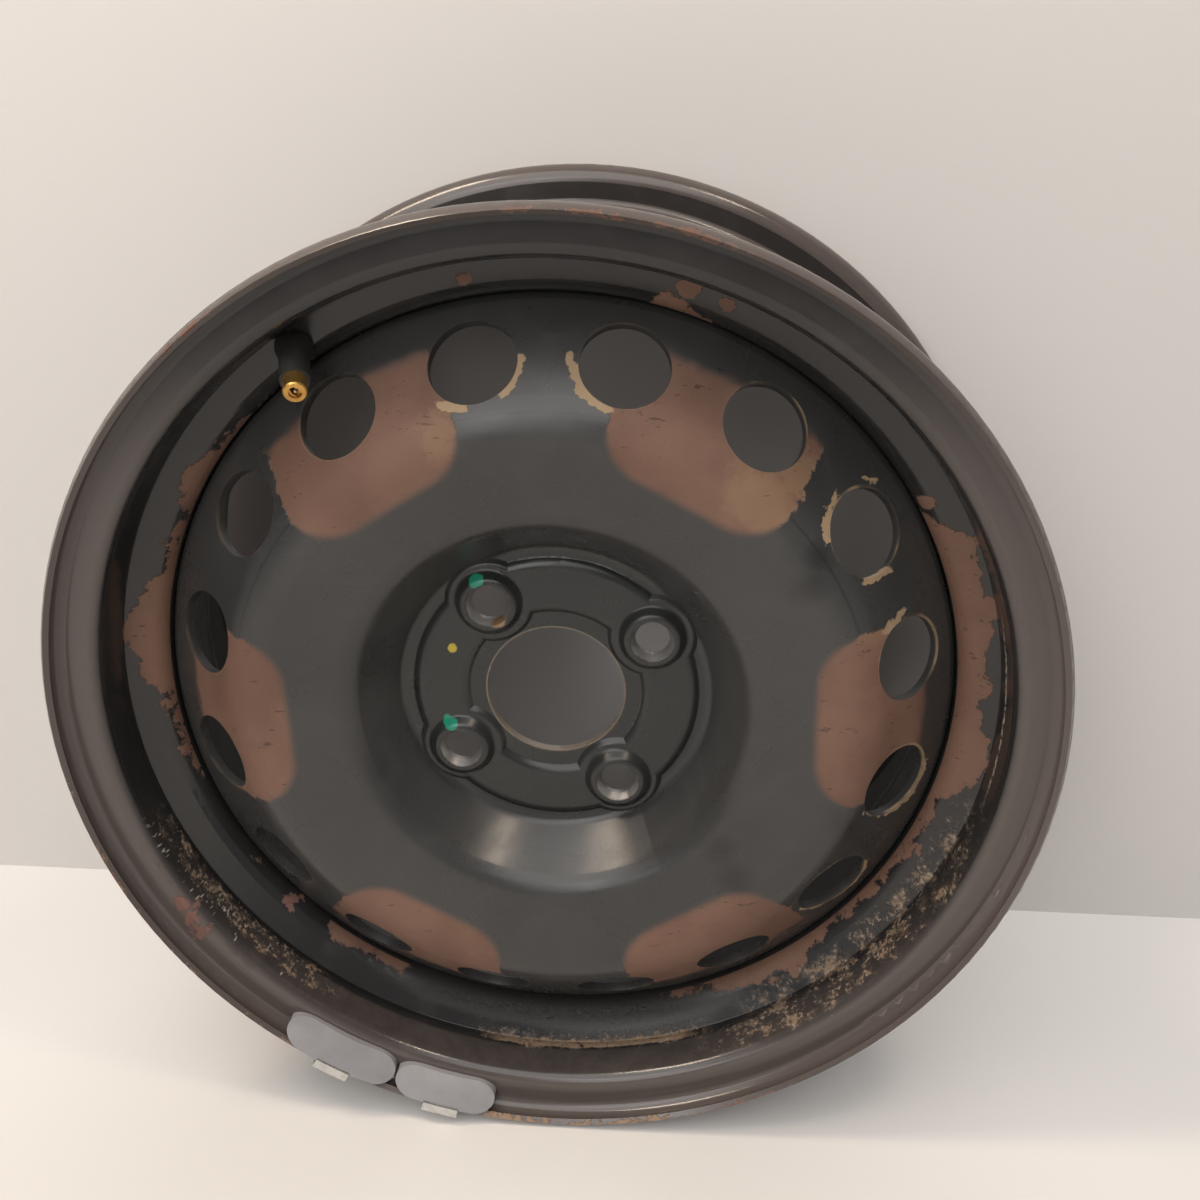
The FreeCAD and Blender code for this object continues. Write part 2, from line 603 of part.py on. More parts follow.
def balance_weight(number, length, turn, clip):
    # The bar is a stretch of the turned section, ended by what two round posts keep of it.
    straight = f"({length} - 2 * {weight_end_radius})"
    half_angle = math.degrees(value_of(straight) / value_of(weight_middle_radius) / 2)
    ring = turned_body(f"weight_ring_{number}", weight_corners)
    stretch = turned_body(f"weight_stretch_{number}", weight_corners,
                          f"{straight} / {weight_middle_radius} * 180 / pi")
    stretch.Placement = turn_about_axis(turn)
    posts = doc.addObject("Part::Fuse", f"weight_posts_{number}")
    posts.Base = round_end(f"weight_post_{number}_left", turn - half_angle)
    posts.Tool = round_end(f"weight_post_{number}_right", turn + half_angle)
    ends = doc.addObject("Part::Common", f"weight_ends_{number}")
    ends.Base = ring
    ends.Tool = posts
    bar = doc.addObject("Part::Fuse", f"weight_bar_{number}")
    bar.Base = stretch
    bar.Tool = ends
    weight = doc.addObject("Part::Cut", f"balance_weight_{number}")
    weight.Base = bar
    weight.Tool = clip
    return weight


# Spring clips: a strip hooked over the lip, its root held in the weight
clip_front = f"({lip_end} + Sizes.clip_gap + Sizes.clip_thickness)"
clip_outer = f"({flange_radius} + Sizes.clip_gap)"
clip_corners = [
    (f"{weight_outer} - Sizes.clip_root", f"-1 * {clip_front}", None),
    (clip_outer, f"-1 * {clip_front}", "Sizes.clip_thickness"),
    (clip_outer, f"-1 * ({half_width} - Sizes.clip_gap)", "Sizes.flange_bend + Sizes.clip_gap"),
    (f"{flange_radius} - Sizes.clip_reach", f"-1 * ({half_width} - Sizes.clip_gap)", None),
]
clip_angle = f"Sizes.clip_length / {flange_radius} * 180 / pi"
weight_step = "((Sizes.weight_one_length + Sizes.weight_two_length) / 2 + Sizes.weight_space)"
weight_step_angle = f"({weight_step} / {weight_middle_radius} * 180 / pi)"
weight_places = [
    (1, "Sizes.weight_one_length", "Sizes.weight_one_turn"),
    (2, "Sizes.weight_two_length", f"Sizes.weight_one_turn + {weight_step_angle}"),
]
weights = []
for number, length, turn in weight_places:
    weight_turn = value_of(turn)
    clip = bent_sheet(f"weight_clip_{number}", clip_corners, "Sizes.clip_thickness", weight_turn, clip_angle)
    weight = balance_weight(number, length, weight_turn, clip)
    weights += [weight, clip]

pieces = [rim, wheel_disc, weld_beads, valve_body, valve_stem, core_body, core_seal, core_pin,
          core_washer, core_spring] + weights
doc.recompute()

for item in doc.Objects:
    if "Invalid" in item.State or "Error" in item.State:
        raise RuntimeError(f"{item.Name} failed: {item.State}")

os.makedirs("parts", exist_ok=True)
for piece in pieces:
    piece.Label = piece.Name
    shape = piece.Shape
    if shape.isNull() or not shape.isValid():
        raise RuntimeError(f"{piece.Label} has no valid shape")
    print(piece.Label, len(shape.Solids), "solids", round(shape.Volume, 1), "mm3", shape.BoundBox)
    shape.exportStep(f"parts/{piece.Label}.step")
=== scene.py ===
import math
import bpy
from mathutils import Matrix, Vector


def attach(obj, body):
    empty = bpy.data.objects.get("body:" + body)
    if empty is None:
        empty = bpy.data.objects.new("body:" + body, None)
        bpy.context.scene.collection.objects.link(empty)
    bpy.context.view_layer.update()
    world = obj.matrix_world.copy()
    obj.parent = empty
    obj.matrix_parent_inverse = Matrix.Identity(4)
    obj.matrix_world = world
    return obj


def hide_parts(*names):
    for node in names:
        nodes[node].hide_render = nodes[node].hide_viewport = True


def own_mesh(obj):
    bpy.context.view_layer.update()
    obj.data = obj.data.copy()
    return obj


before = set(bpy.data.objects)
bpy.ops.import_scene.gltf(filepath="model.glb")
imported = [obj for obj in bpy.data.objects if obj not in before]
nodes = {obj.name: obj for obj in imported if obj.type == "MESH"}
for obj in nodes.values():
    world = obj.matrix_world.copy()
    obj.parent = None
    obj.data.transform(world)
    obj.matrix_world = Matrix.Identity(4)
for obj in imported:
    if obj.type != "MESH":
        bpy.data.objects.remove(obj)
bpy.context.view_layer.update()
print("frame loaded:", len(nodes), "pieces")


# small helpers for shader trees

def feed(tree, socket, value):
    if isinstance(value, bpy.types.NodeSocket):
        tree.links.new(value, socket)
    else:
        socket.default_value = value


def addNode(tree, kind, inputs=None, **settings):
    made = tree.nodes.new(kind)
    for key, value in settings.items():
        setattr(made, key, value)
    for key, value in (inputs or {}).items():
        feed(tree, made.inputs[key], value)
    return made


def calc(tree, operation, *values):
    return addNode(tree, "ShaderNodeMath", dict(enumerate(values)), operation=operation).outputs[0]


def fold(tree, operation, values):
    total = values[0]
    for value in values[1:]:
        total = calc(tree, operation, total, value)
    return total


def times(tree, *values):
    return fold(tree, "MULTIPLY", values)


def plus(tree, *values):
    return fold(tree, "ADD", values)


def minus(tree, first, second):
    return calc(tree, "SUBTRACT", first, second)


def strongest(tree, *masks):
    return fold(tree, "MAXIMUM", masks)


def vectorCalc(tree, operation, output, *values):
    made = addNode(tree, "ShaderNodeVectorMath", dict(enumerate(values)), operation=operation)
    return made.outputs[output]


def ramp(tree, value, low, high, start=0.0, end=1.0):
    # smooth step of a value between low and high
    numbers = {"Value": value, "From Min": low, "From Max": high, "To Min": start, "To Max": end}
    made = addNode(tree, "ShaderNodeMapRange", interpolation_type="SMOOTHSTEP", clamp=True)
    for key, number in numbers.items():
        feed(tree, made.inputs[key], number)
    return made.outputs["Result"]


def noise(tree, vector, scale, detail=4.0, roughness=0.55, distortion=0.0):
    return addNode(tree, "ShaderNodeTexNoise", {
        "Vector": vector, "Scale": scale, "Detail": detail, "Roughness": roughness,
        "Distortion": distortion}).outputs["Fac"]


def blendColour(tree, mask, first, second):
    made = addNode(tree, "ShaderNodeMix", data_type="RGBA", blend_type="MIX")
    for index, value in ((0, mask), (6, first), (7, second)):
        feed(tree, made.inputs[index], (*value, 1.0) if isinstance(value, tuple) else value)
    return made.outputs[2]


def mixValue(tree, mask, first, second):
    return addNode(tree, "ShaderNodeMix", {0: mask, 2: first, 3: second}).outputs[0]


def newMaterial(name, metallic=0.0):
    material = bpy.data.materials.new(name)
    material.use_nodes = True
    tree = material.node_tree
    shader = tree.nodes["Principled BSDF"]
    shader.inputs["Metallic"].default_value = metallic
    place = addNode(tree, "ShaderNodeTexCoord").outputs["Object"]
    return material, tree, shader, place


def setBump(tree, shader, height, depth):
    bump = addNode(tree, "ShaderNodeBump", {"Height": height, "Strength": 1.0, "Distance": depth})
    tree.links.new(bump.outputs["Normal"], shader.inputs["Normal"])


def newGroup(name, inputs, outputs):
    group = bpy.data.node_groups.new(name, "ShaderNodeTree")
    for title, kind, value in inputs:
        socket = group.interface.new_socket(title, in_out="INPUT", socket_type=kind)
        if value is not None:
            socket.default_value = value
    for title, kind in outputs:
        group.interface.new_socket(title, in_out="OUTPUT", socket_type=kind)
    entry = group.nodes.new("NodeGroupInput")
    leave = group.nodes.new("NodeGroupOutput")
    return group, entry.outputs, leave.inputs


def useGroup(tree, group, **inputs):
    made = tree.nodes.new("ShaderNodeGroup")
    made.node_tree = group
    for key, value in inputs.items():
        feed(tree, made.inputs[key], value)
    return made.outputs


# shared effects

def makeWheelPolar():
    # place on the wheel: distance from the spin axis, turn in degrees, place along the axis
    group, entry, leave = newGroup(
        "wheelPolar", [("Vector", "NodeSocketVector", None)],
        [("Radius", "NodeSocketFloat"), ("Turn", "NodeSocketFloat"), ("Along", "NodeSocketFloat")])
    split = addNode(group, "ShaderNodeSeparateXYZ", {"Vector": entry["Vector"]}).outputs
    squares = plus(group, calc(group, "POWER", split["X"], 2.0), calc(group, "POWER", split["Z"], 2.0))
    group.links.new(calc(group, "SQRT", squares), leave["Radius"])
    turn = calc(group, "DEGREES", calc(group, "ARCTAN2", split["Z"], split["X"]))
    group.links.new(turn, leave["Turn"])
    group.links.new(split["Y"], leave["Along"])
    return group


rustLook = {
    "cloudScale": 24.0, "grainScale": 850.0, "crowdScale": 42.0, "streakStretch": (130.0, 260.0, 520.0),
    "dark": (0.120, 0.059, 0.038), "light": (0.158, 0.083, 0.055), "grain": (0.195, 0.118, 0.084),
    "grainShare": 0.3, "crowdShare": 0.22, "pitRange": (0.455, 0.395), "pitShare": 0.75,
    "pit": (0.055, 0.030, 0.022), "roughness": (0.58, 0.8), "grainHeight": 0.5,
}


def makeRustBloom(look):
    # even brown rust with fine grain, small dark pits and short scored streaks
    group, entry, leave = newGroup(
        "rustBloom", [("Vector", "NodeSocketVector", None)],
        [("Colour", "NodeSocketColor"), ("Roughness", "NodeSocketFloat"), ("Height", "NodeSocketFloat")])
    clouds = noise(group, entry["Vector"], look["cloudScale"], 4.0, 0.55)
    grain = noise(group, entry["Vector"], look["grainScale"], 3.0, 0.6)
    stretched = addNode(group, "ShaderNodeMapping", {
        "Vector": entry["Vector"], "Scale": look["streakStretch"]}).outputs["Vector"]
    streaks = noise(group, stretched, 1.0, 3.0, 0.65)
    crowd = noise(group, entry["Vector"], look["crowdScale"], 2.0, 0.5)
    colour = blendColour(group, ramp(group, clouds, 0.35, 0.65), look["dark"], look["light"])
    colour = blendColour(group, ramp(group, grain, 0.4, 0.75, 0.0, look["grainShare"]), colour, look["grain"])
    pitMask = ramp(group, plus(group, streaks, times(group, crowd, look["crowdShare"])), *look["pitRange"])
    colour = blendColour(group, times(group, pitMask, look["pitShare"]), colour, look["pit"])
    group.links.new(colour, leave["Colour"])
    group.links.new(ramp(group, grain, 0.3, 0.7, *look["roughness"]), leave["Roughness"])
    height = minus(group, times(group, grain, look["grainHeight"]), pitMask)
    group.links.new(height, leave["Height"])
    return group


coatLook = {
    "cloudScale": 11.0, "wipeScale": 34.0, "peelScale": 1400.0,
    "dark": (0.031, 0.030, 0.029), "light": (0.041, 0.040, 0.039), "haze": (0.085, 0.080, 0.075),
    "roughness": (0.25, 0.36), "hazeRoughness": 0.25,
}


def makeSatinCoat(look):
    # black dip coat: faint grey clouds, handling haze and a very fine orange peel
    group, entry, leave = newGroup(
        "satinCoat", [("Vector", "NodeSocketVector", None), ("Haze", "NodeSocketFloat", 0.3)],
        [("Colour", "NodeSocketColor"), ("Roughness", "NodeSocketFloat"), ("Height", "NodeSocketFloat")])
    clouds = noise(group, entry["Vector"], look["cloudScale"], 3.0, 0.5)
    wiped = noise(group, entry["Vector"], look["wipeScale"], 5.0, 0.6, 0.6)
    peel = noise(group, entry["Vector"], look["peelScale"], 2.0, 0.5)
    colour = blendColour(group, ramp(group, clouds, 0.3, 0.7), look["dark"], look["light"])
    haze = times(group, ramp(group, wiped, 0.5, 0.8), entry["Haze"])
    colour = blendColour(group, haze, colour, look["haze"])
    group.links.new(colour, leave["Colour"])
    rough = ramp(group, wiped, 0.3, 0.75, *look["roughness"])
    rough = plus(group, rough, times(group, haze, look["hazeRoughness"]))
    group.links.new(rough, leave["Roughness"])
    group.links.new(peel, leave["Height"])
    return group


wheelPolar = makeWheelPolar()
rustBloom = makeRustBloom(rustLook)
satinCoat = makeSatinCoat(coatLook)
print("shared effects made")


# masks by place on the wheel

def sectorPlace(tree, polar, count, turn):
    # folds the wheel into equal sectors: sideways and outward place in the nearest one
    step = 360.0 / count
    local = calc(tree, "WRAP", minus(tree, polar["Turn"], turn), step / 2, -step / 2)
    local = calc(tree, "RADIANS", local)
    side = times(tree, polar["Radius"], calc(tree, "SINE", local))
    out = times(tree, polar["Radius"], calc(tree, "COSINE", local))
    return side, out


def flatLength(tree, first, second):
    return calc(tree, "SQRT", plus(tree, calc(tree, "POWER", first, 2.0), calc(tree, "POWER", second, 2.0)))


def arcMask(tree, polar, middle, half, soft):
    # a stretch of the wheel's turn, in degrees, with soft ends
    gap = calc(tree, "WRAP", minus(tree, polar["Turn"], middle), 180.0, -180.0)
    return ramp(tree, calc(tree, "ABSOLUTE", gap), half + soft, half - soft)


def bandMask(tree, value, low, high, soft):
    return times(tree, ramp(tree, value, low - soft, low + soft), ramp(tree, value, high + soft, high - soft))


def spotMask(tree, place, spots, soft, ragged):
    # spots given by turn in degrees, radius, place along the axis and reach
    masks = []
    for turn, radius, along, reach in spots:
        angle = math.radians(turn)
        centre = (radius * math.cos(angle), along, radius * math.sin(angle))
        gap = plus(tree, vectorCalc(tree, "DISTANCE", "Value", place, centre), ragged)
        masks.append(ramp(tree, gap, reach + soft, reach - soft))
    return strongest(tree, *masks)


def raggedNoise(tree, ragged, reach):
    return times(tree, minus(tree, ragged, 0.5), reach)


# pressed disc

discLook = {
    "haze": 0.2, "raggedScale": 150.0, "raggedReach": 0.012,
    "patchCount": 6, "patchTurn": 2.0, "patchHalfWidth": 0.040, "patchInner": 0.110, "patchCorner": 0.022,
    "patchOuter": (0.1585, 0.1535), "outerWaver": 0.4, "raggedFrom": (0.122, 0.136),
    "softFrom": (0.118, 0.134), "softness": (0.0026, 0.0004),
    "ventCount": 16, "ventTurn": 11.08, "ventRadius": 0.0177, "ventCircle": 0.1493, "coneRun": 0.755,
    "coneLine": (0.1343, -0.0721, 0.844), "coneNormal": (0.645, 0.764), "faceLean": (0.25, 0.45),
    "marginWidth": 0.0034, "thinWidth": 0.0019, "flakeWaver": 0.9, "flakeSoft": 0.0005,
    "wornScale": 30.0, "cutEdge": (0.0006, 0.0002), "cutWear": (0.46, 0.62, 0.06, 0.7),
    "cutArc": (5.0, 55.0, 15.0), "cutElsewhere": 0.2, "cutDepth": (0.0019, 0.00114),
    "tan": (0.30, 0.205, 0.12), "ochre": (0.25, 0.155, 0.085),
    "ochreSoft": 0.006, "ochreWaver": 2.2, "ochreShare": 0.45,
    "crownShadeLine": 0.1316, "shadeLineEdge": (0.0007, 0.0002), "shadeLineShare": 0.5, "shadeLineBlack": (0.012, 0.012, 0.012),
    "smudgeSoft": 0.005, "smudgeWaver": 0.7, "smudgeShare": 0.55, "smudgeBlack": (0.010, 0.010, 0.010),
    "hubFade": (0.0715, 0.0615), "hubShare": 0.78, "hubBlack": (0.013, 0.014, 0.0135),
    "boreFade": (0.0308, 0.0303), "boreShare": 0.8, "boreTan": (0.20, 0.155, 0.115),
    "boltCount": 4, "boltTurn": 33.35, "boltCircle": 0.050, "seatFade": (0.0095, 0.0090),
    "seatWaver": 0.12, "seatWear": (0.25, 0.5, 0.45, 1.0), "seatRoughness": 0.34, "seatMetal": 0.85,
    "bareSteel": (0.36, 0.345, 0.33), "seatRustSoft": 0.0006, "dabWaver": 0.35, "dabSoft": 0.0003,
    "teal": (0.012, 0.20, 0.125), "yellow": (0.42, 0.32, 0.03), "peelHeight": 0.12, "coatHeight": 0.6,
    "bumpDepth": 0.00022,
    "flakeSpots": [
        (94.0, 0.1448, -0.0635, 0.0065), (95.3, 0.1390, -0.0686, 0.005), (103.5, 0.1343, -0.0721, 0.004),
        (106.3, 0.1354, -0.0714, 0.005), (86.3, 0.1419, -0.0661, 0.0075), (87.8, 0.1467, -0.0619, 0.006),
        (83.8, 0.1365, -0.0707, 0.007), (81.5, 0.1329, -0.0729, 0.006), (42.1, 0.1454, -0.0630, 0.006),
        (40.8, 0.1404, -0.0674, 0.007), (38.5, 0.1371, -0.0702, 0.005), (26.6, 0.1440, -0.0643, 0.006),
        (25.5, 0.1490, -0.0600, 0.004), (18.9, 0.1445, -0.0638, 0.006), (20.4, 0.1507, -0.0585, 0.005),
        (39.5, 0.1632, -0.0477, 0.004),
    ],
    "thinSpots": [
        (-40.9, 0.1512, -0.0581, 0.006), (-39.5, 0.1560, -0.0538, 0.006), (-37.1, 0.1609, -0.0496, 0.006),
        (-33.9, 0.1627, -0.0481, 0.006), (-30.8, 0.1609, -0.0496, 0.005), (-18.6, 0.1442, -0.0641, 0.007),
        (-17.0, 0.1560, -0.0538, 0.007), (-14.6, 0.1609, -0.0496, 0.006), (-11.4, 0.1627, -0.0481, 0.006),
    ],
    "ochreSpots": [
        (50.2, 0.1294, -0.0744, 0.014), (47.6, 0.1437, -0.0645, 0.010), (107.5, 0.1286, -0.0746, 0.008),
        (18.7, 0.1390, -0.0690, 0.007),
    ],
    "smudges": [
        (-39.5, 0.0948, -0.0716, 0.006), (-42.7, 0.1090, -0.0740, 0.007), (35.9, 0.1305, -0.0740, 0.005),
        (32.2, 0.1216, -0.0757, 0.006), (-19.2, 0.1318, -0.0734, 0.005),
    ],
    "tealDabs": [
        (121.3, 0.0618, -0.0497, 0.0034), (-161.0, 0.0486, -0.0495, 0.0032),
        (-163.5, 0.0500, -0.0485, 0.0026),
    ],
    "yellowDab": [(155.9, 0.0485, -0.0463, 0.0019)],
    "seatRust": [(123.9, 0.0420, -0.0495, 0.0028)],
}


def discPatches(tree, polar, shift, look):
    # rounded patches of rust, smooth inside and ragged towards the vents
    side, out = sectorPlace(tree, polar, look["patchCount"], look["patchTurn"])
    overSide = minus(tree, calc(tree, "ABSOLUTE", side), look["patchHalfWidth"] - look["patchCorner"])
    overIn = minus(tree, look["patchInner"] + look["patchCorner"], out)
    corner = flatLength(tree, strongest(tree, overSide, 0.0), strongest(tree, overIn, 0.0))
    patch = minus(tree, corner, look["patchCorner"])
    patch = plus(tree, patch, times(tree, shift, ramp(tree, polar["Radius"], *look["raggedFrom"])))
    softness = ramp(tree, polar["Radius"], *look["softFrom"], *look["softness"])
    mask = ramp(tree, patch, softness, times(tree, softness, -1.0))
    wavering = plus(tree, polar["Radius"], times(tree, shift, look["outerWaver"]))
    return times(tree, mask, ramp(tree, wavering, *look["patchOuter"]))


def coneFaces(tree, place, look):
    # the faces of the cone, without the walls of the vents, which stand square to it and keep their coat
    normal = addNode(tree, "ShaderNodeNewGeometry").outputs["Normal"]
    flat = vectorCalc(tree, "MULTIPLY", "Vector", place, (1.0, 0.0, 1.0))
    outward = vectorCalc(tree, "NORMALIZE", "Vector", flat)
    leanOut = vectorCalc(tree, "DOT_PRODUCT", "Value", normal, outward)
    leanFront = vectorCalc(tree, "DOT_PRODUCT", "Value", normal, (0.0, -1.0, 0.0))
    shareOut, shareFront = look["coneNormal"]
    lean = plus(tree, times(tree, leanOut, shareOut), times(tree, leanFront, shareFront))
    return ramp(tree, calc(tree, "ABSOLUTE", lean), *look["faceLean"])


def ventMargins(tree, place, polar, shift, onFace, look):
    # flaked tan margins on parts of some vents, and the worn edge of each cut
    side, out = sectorPlace(tree, polar, look["ventCount"], look["ventTurn"])
    up = calc(tree, "DIVIDE", minus(tree, out, look["ventCircle"]), look["coneRun"])
    edge = minus(tree, flatLength(tree, side, up), look["ventRadius"])
    flakeEdge = plus(tree, edge, times(tree, shift, look["flakeWaver"]))
    flakes = times(tree, calc(tree, "LESS_THAN", flakeEdge, look["marginWidth"]),
                   spotMask(tree, place, look["flakeSpots"], look["flakeSoft"], shift))
    thin = times(tree, calc(tree, "LESS_THAN", flakeEdge, look["thinWidth"]),
                 spotMask(tree, place, look["thinSpots"], look["flakeSoft"], shift), onFace)
    worn = noise(tree, place, look["wornScale"], 4.0, 0.65)
    onArc = ramp(tree, arcMask(tree, polar, *look["cutArc"]), 0.0, 1.0, look["cutElsewhere"], 1.0)
    coneRadius, coneAlong, coneFall = look["coneLine"]
    coneFront = plus(tree, times(tree, minus(tree, polar["Radius"], coneRadius), coneFall), coneAlong)
    nearFront = ramp(tree, minus(tree, polar["Along"], coneFront), *look["cutDepth"])
    cut = times(tree, ramp(tree, edge, *look["cutEdge"]), ramp(tree, worn, *look["cutWear"]),
                onArc, nearFront)
    return strongest(tree, flakes, thin, cut)


def makeDiscMaterial(look):
    material, tree, shader, place = newMaterial("discCoat")
    polar = useGroup(tree, wheelPolar, Vector=place)
    coat = useGroup(tree, satinCoat, Vector=place, Haze=look["haze"])
    rust = useGroup(tree, rustBloom, Vector=place)
    ragged = noise(tree, place, look["raggedScale"], 6.0, 0.7)
    shift = raggedNoise(tree, ragged, look["raggedReach"])
    onFace = coneFaces(tree, place, look)
    patchMask = times(tree, discPatches(tree, polar, shift, look), onFace)
    marginMask = ventMargins(tree, place, polar, shift, onFace, look)
    ochreMask = spotMask(tree, place, look["ochreSpots"], look["ochreSoft"],
                         times(tree, shift, look["ochreWaver"]))
    brown = blendColour(tree, times(tree, ochreMask, look["ochreShare"]), rust["Colour"], look["ochre"])
    # faint painted shade line round the crown, where its curve turns; dark handling smudges
    shadeLineGap = calc(tree, "ABSOLUTE", minus(tree, polar["Radius"], look["crownShadeLine"]))
    shadeLineMask = ramp(tree, shadeLineGap, *look["shadeLineEdge"], 0.0, look["shadeLineShare"])
    smudgeMask = spotMask(tree, place, look["smudges"], look["smudgeSoft"],
                          times(tree, shift, look["smudgeWaver"]))
    # darker hub, bare bore edge, worn bolt seats and dabs of marking paint
    hubMask = ramp(tree, polar["Radius"], *look["hubFade"], 0.0, look["hubShare"])
    boreMask = ramp(tree, polar["Radius"], *look["boreFade"])
    boltSide, boltOut = sectorPlace(tree, polar, look["boltCount"], look["boltTurn"])
    boltGap = flatLength(tree, boltSide, minus(tree, boltOut, look["boltCircle"]))
    wornGap = plus(tree, boltGap, times(tree, shift, look["seatWaver"]))
    seatMask = times(tree, ramp(tree, wornGap, *look["seatFade"]), ramp(tree, ragged, *look["seatWear"]))
    dabShift = times(tree, shift, look["dabWaver"])
    tealMask = spotMask(tree, place, look["tealDabs"], look["dabSoft"], dabShift)
    yellowMask = spotMask(tree, place, look["yellowDab"], look["dabSoft"], dabShift)
    seatRustMask = spotMask(tree, place, look["seatRust"], look["seatRustSoft"], dabShift)
    colour = coat["Colour"]
    for mask, layer in (
            (hubMask, look["hubBlack"]), (shadeLineMask, look["shadeLineBlack"]),
            (times(tree, smudgeMask, look["smudgeShare"]), look["smudgeBlack"]),
            (patchMask, brown), (marginMask, look["tan"]),
            (times(tree, boreMask, look["boreShare"]), look["boreTan"]),
            (seatMask, look["bareSteel"]), (seatRustMask, look["ochre"]),
            (tealMask, look["teal"]), (yellowMask, look["yellow"])):
        colour = blendColour(tree, mask, colour, layer)
    tree.links.new(colour, shader.inputs["Base Color"])
    rustMask = strongest(tree, patchMask, marginMask)
    rough = mixValue(tree, rustMask, coat["Roughness"], rust["Roughness"])
    tree.links.new(mixValue(tree, seatMask, rough, look["seatRoughness"]), shader.inputs["Roughness"])
    tree.links.new(times(tree, seatMask, look["seatMetal"]), shader.inputs["Metallic"])
    coatHeight = plus(tree, times(tree, coat["Height"], look["peelHeight"]), look["coatHeight"])
    setBump(tree, shader, mixValue(tree, rustMask, coatHeight, rust["Height"]), look["bumpDepth"])
    return material


# rolled rim: an arc is its middle, half its length and its soft end in degrees, then its own measures

rimLook = {
    "haze": 0.35, "raggedScale": 120.0, "raggedReach": 0.020, "speckScale": 520.0, "clumpScale": 120.0,
    "outsideLean": (-0.05, 0.15), "lipZone": (0.0755, 0.0785),
    "topShadeArc": (92.0, 45.0, 22.0), "topShadeBand": (-0.0835, 0.0, 0.001),
    "innerShadeBlack": (0.008, 0.007, 0.007), "innerShadeShare": 0.6,
    "dustAndSheenGrey": (0.099, 0.078, 0.070), "dustAndSheenShare": 0.75,
    "crease": 0.1708, "slopeBand": (-0.0562, -0.0435, 0.0006), "slopeBase": -0.004,
    "slopeArcs": [(8.0, 21.0, 5.0, 0.0170), (-43.0, 27.0, 8.0, 0.0125), (158.0, 20.0, 9.0, 0.0110),
                  (-123.0, 7.0, 4.0, 0.0100), (-178.0, 14.0, 7.0, 0.0080), (73.0, 4.0, 2.0, 0.0095)],
    "slopeSpots": [(73.0, 0.1825, -0.0535, 0.005), (15.2, 0.1826, -0.0535, 0.006),
                   (31.5, 0.1744, -0.0490, 0.004), (68.0, 0.1815, -0.0530, 0.003),
                   (100.0, 0.1790, -0.0518, 0.003)],
    "breakScale": 24.0, "breakRange": (0.36, 0.60, 0.15, 1.15), "slopeEdge": (0.0004, -0.0004),
    "spotSoft": 0.0004, "slopeWaver": 0.5,
    "gritArcs": [(-37.0, 20.0, 7.0, -0.0600, -0.0520), (-40.0, 22.0, 10.0, -0.0740, -0.0590),
                 (-143.0, 16.0, 5.0, -0.0700, -0.0585), (-85.0, 15.0, 5.0, -0.0605, -0.0545)],
    "gritWaver": 0.6, "gritSoft": 0.0012, "crowdRange": (0.40, 0.62), "gritRange": (0.56, 0.64),
    "grit": (0.36, 0.31, 0.26), "grime": (0.05, 0.037, 0.03), "grimeShare": 0.75,
    "sandMix": (0.55, 0.45), "sandRange": (0.52, 0.57), "tan": (0.32, 0.215, 0.135), "tanShare": 0.7,
    "cakedArc": (-85.0, 14.5, 2.0), "cakedBand": (-0.0600, -0.0552, 0.0004), "cakedWaver": 0.25,
    "cakedRange": (0.34, 0.46), "bandSoft": 0.001,
    "streakArc": (-146.0, 15.0, 5.0, -0.0755, -0.0640), "streakTurn": 0.55, "streakLength": 0.007,
    "streakRange": (0.64, 0.68),
    "dustArc": (3.0, 12.0, 4.0, -0.0645, 0.0011), "dustWander": 0.004, "dustRange": (0.42, 0.55),
    "primerSpots": [(-149.9, 0.1922, -0.0785, 0.0030), (-147.3, 0.1936, -0.0786, 0.0022),
                    (-145.4, 0.1950, -0.0787, 0.0034), (-149.0, 0.1900, -0.0750, 0.0016),
                    (-137.4, 0.1724, -0.0464, 0.0032)],
    "primer": (0.15, 0.072, 0.054), "primerWaver": 1.5,
    "lipRust": [(82.0, 11.0, 5.0), (-90.0, 10.0, 4.0), (-64.0, 5.0, 3.0), (-158.0, 5.0, 3.0),
                (128.0, 3.0, 2.0)],
    "rearRust": (85.0, 35.0, 12.0), "rearFrom": (0.0, 0.01),
    "lipEdge": 0.0868, "lipWaver": 0.012, "lipRange": (0.0016, 0.0022),
    "chipArcs": [(-86.0, 14.0, 4.0, 0.0012), (-148.0, 22.0, 6.0, 0.0030)],
    "chipWaver": 0.020, "chipSoft": 0.0004, "chip": (0.25, 0.165, 0.105),
    "fleckRange": (0.70, 0.73), "fleckCrowd": (0.5, 0.68),
    "creaseShadeArc": (-91.0, 26.0, 9.0), "creaseShadeFade": (-0.0535, -0.0495), "creaseShadeShare": 0.85,
    "creaseShadeColour": (0.012, 0.009, 0.007),
    "seatSheenArc": (-90.0, 62.0, 20.0, -0.0765, -0.0612), "seatSheenRange": (0.3, 0.7, 0.35, 0.65),
    "gloss": 0.6, "peelHeight": 0.12, "coatHeight": 0.6, "bumpDepth": 0.00025,
}


def rimOutside(tree, place, polar, look):
    # the tyre's side, where the surface faces away from the spin axis
    normal = addNode(tree, "ShaderNodeNewGeometry").outputs["Normal"]
    split = addNode(tree, "ShaderNodeSeparateXYZ", {"Vector": normal}).outputs
    where = addNode(tree, "ShaderNodeSeparateXYZ", {"Vector": place}).outputs
    facing = plus(tree, times(tree, split["X"], where["X"]), times(tree, split["Z"], where["Z"]))
    return ramp(tree, calc(tree, "DIVIDE", facing, polar["Radius"]), *look["outsideLean"])


def arcBand(tree, polar, value, arc, soft):
    # a stretch of the turn, in a band along the axis
    middle, half, fade, low, high = arc
    return times(tree, arcMask(tree, polar, middle, half, fade), bandMask(tree, value, low, high, soft))


